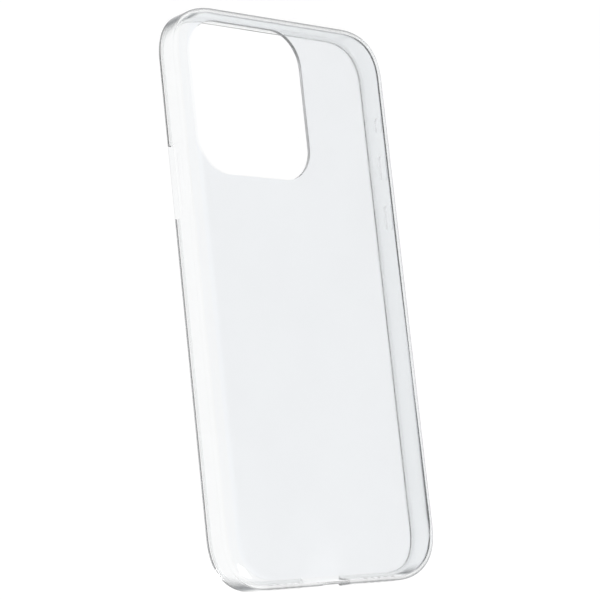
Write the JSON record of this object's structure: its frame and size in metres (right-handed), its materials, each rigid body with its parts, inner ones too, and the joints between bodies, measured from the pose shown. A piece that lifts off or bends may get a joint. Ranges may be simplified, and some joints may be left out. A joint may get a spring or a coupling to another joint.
{
  "type": "phone case",
  "caption": "Slim clear phone case: hard back panel with a camera cut-out, soft bumper frame with front lip and charging notch, and sprung button covers on both sides.",
  "frame": {"origin": "middle of the front rim, in the plane that the rim rests on", "axes": "+Z towards the back of the case, +Y towards the camera end, +X to the right seen from the back"},
  "size_m": [0.0794, 0.1624, 0.0104],
  "materials": {
    "clear_hard_plastic": "clear hard polycarbonate, polished on both faces",
    "clear_soft_plastic": "clear soft thermoplastic polyurethane, polished, very slightly grey",
    "clear_button_plastic": "clear soft thermoplastic polyurethane, polished, thicker than the web round it"
  },
  "bodies": {
    "case": {"back_panel": "clear_hard_plastic", "bumper_frame": "clear_soft_plastic", "side_button_web": "clear_soft_plastic", "action_button_web": "clear_soft_plastic", "volume_up_button_web": "clear_soft_plastic", "volume_down_button_web": "clear_soft_plastic"},
    "side_button_pad": {"side_button": "clear_button_plastic"},
    "action_button_pad": {"action_button": "clear_button_plastic"},
    "volume_up_button_pad": {"volume_up_button": "clear_button_plastic"},
    "volume_down_button_pad": {"volume_down_button": "clear_button_plastic"}
  },
  "joints": [
    {"name": "side_button_press", "type": "slide", "parent": "case", "child": "side_button_pad", "axis": [1, 0, 0], "range_m": [0, 0.0004], "stiffness_N_per_m": 800},
    {"name": "action_button_press", "type": "slide", "parent": "case", "child": "action_button_pad", "axis": [-1, 0, 0], "range_m": [0, 0.0004], "stiffness_N_per_m": 800},
    {"name": "volume_up_button_press", "type": "slide", "parent": "case", "child": "volume_up_button_pad", "axis": [-1, 0, 0], "range_m": [0, 0.0004], "stiffness_N_per_m": 800},
    {"name": "volume_down_button_press", "type": "slide", "parent": "case", "child": "volume_down_button_pad", "axis": [-1, 0, 0], "range_m": [0, 0.0004], "stiffness_N_per_m": 800}
  ]
}
